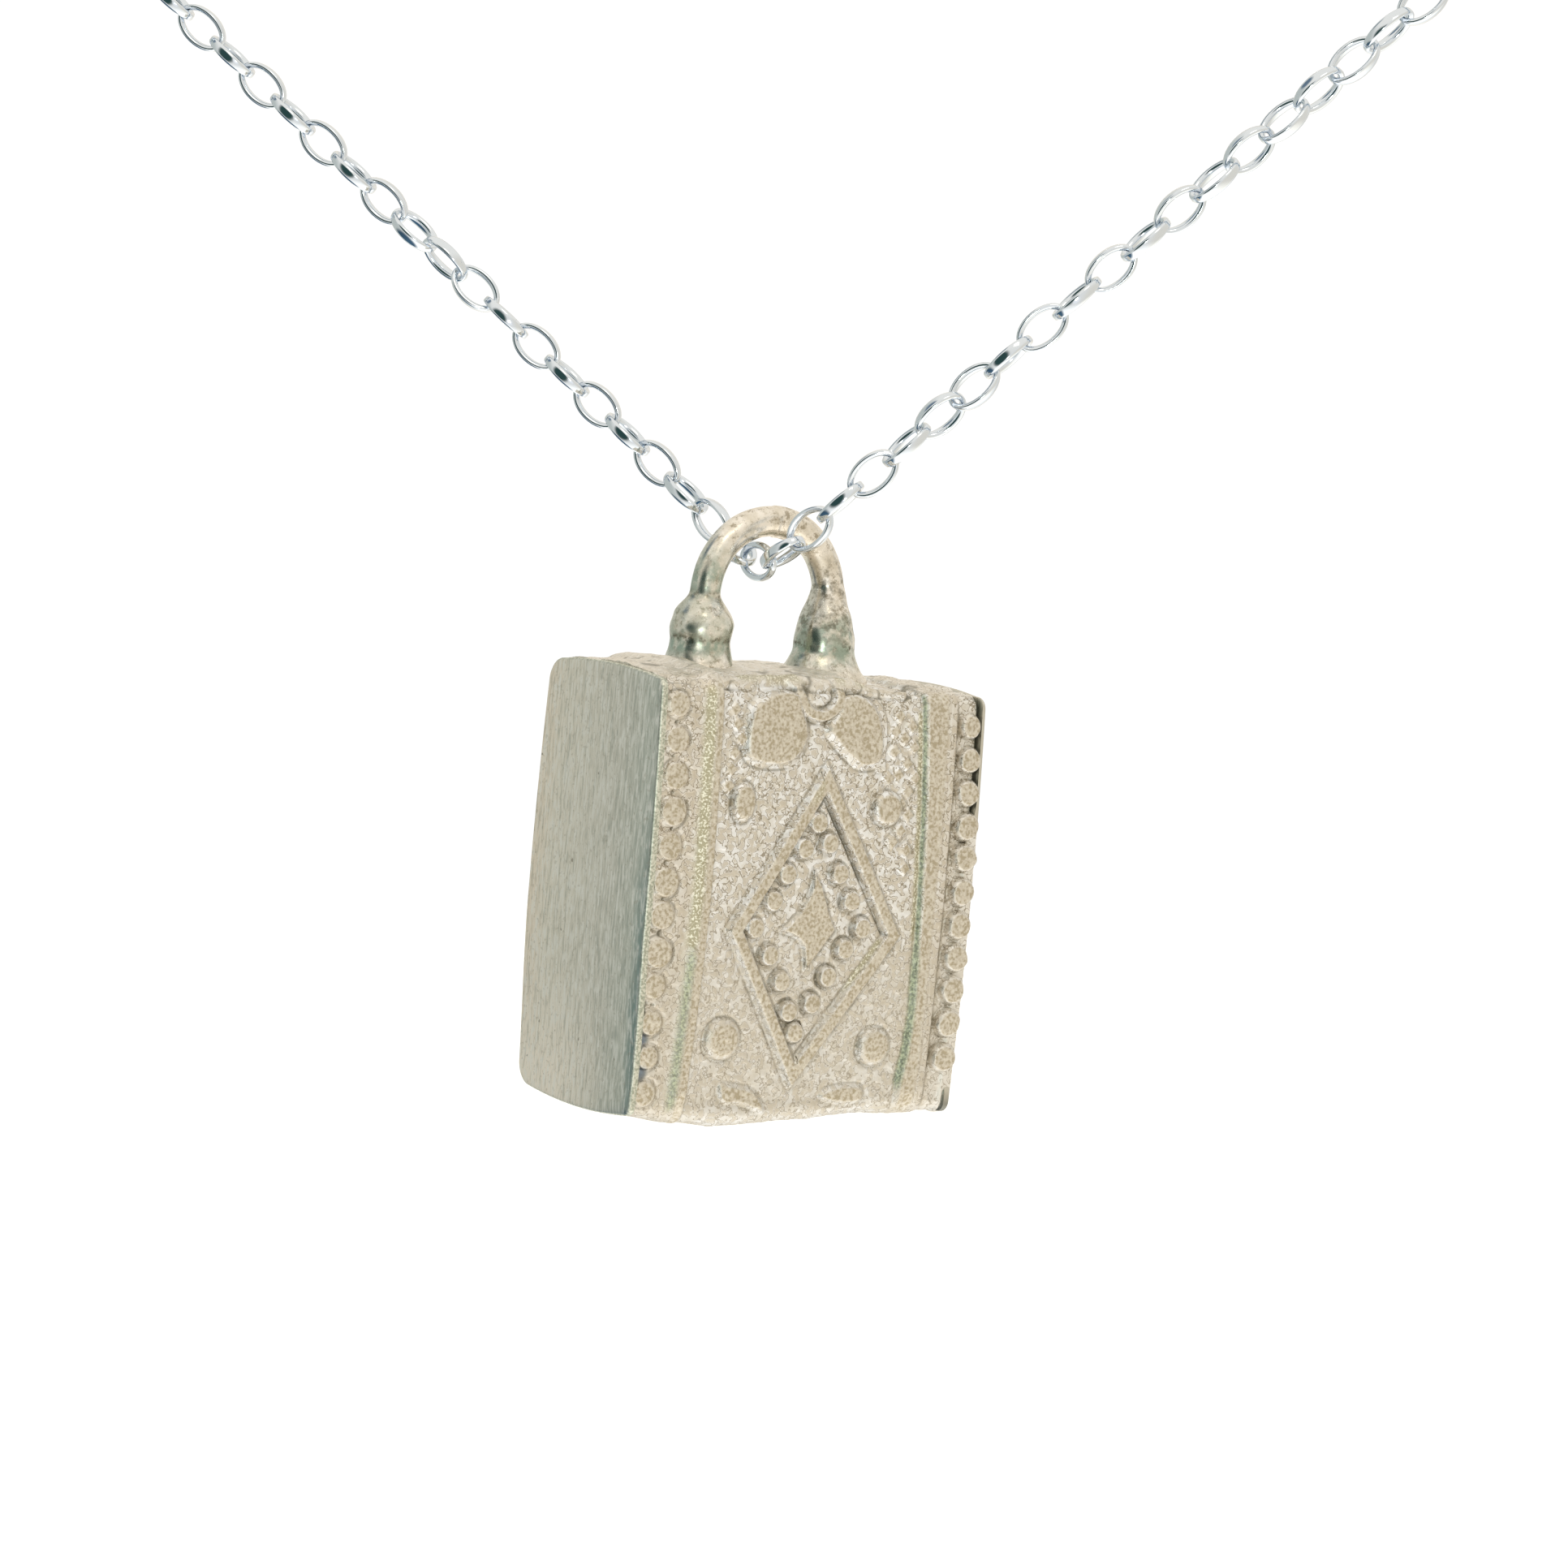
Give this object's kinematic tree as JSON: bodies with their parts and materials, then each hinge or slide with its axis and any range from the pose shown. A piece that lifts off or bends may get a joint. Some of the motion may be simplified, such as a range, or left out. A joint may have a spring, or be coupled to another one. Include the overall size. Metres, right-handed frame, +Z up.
{
  "type": "amulet box pendant on a chain necklace",
  "caption": "Silver amulet box pendant with cast relief and a round bail, hanging from a fine oval link chain that closes behind the neck.",
  "frame": {"origin": "the middle of the clasp at the nape of the neck, where the chain is held", "axes": "+Z up, -Y the way the wearer faces, +X the wearer's left"},
  "size_m": [0.1231, 0.1079, 0.1045],
  "materials": {
    "satin_silver": "cast silver, satin, slightly antiqued",
    "bright_silver": "polished silver"
  },
  "bodies": {
    "necklace": {"chain_right": "bright_silver", "chain_left": "bright_silver", "end_link_right": "bright_silver", "end_link_left": "bright_silver", "clasp": "bright_silver"},
    "pendant": {"amulet_box": "satin_silver"}
  },
  "joints": [
    {"name": "pendant_swing", "type": "hinge", "parent": "necklace", "child": "pendant", "pos_m": [0, -0.09576, -0.07832], "axis": [-0.7071, 0.7071, 0], "range_deg": [-50, 50]}
  ]
}
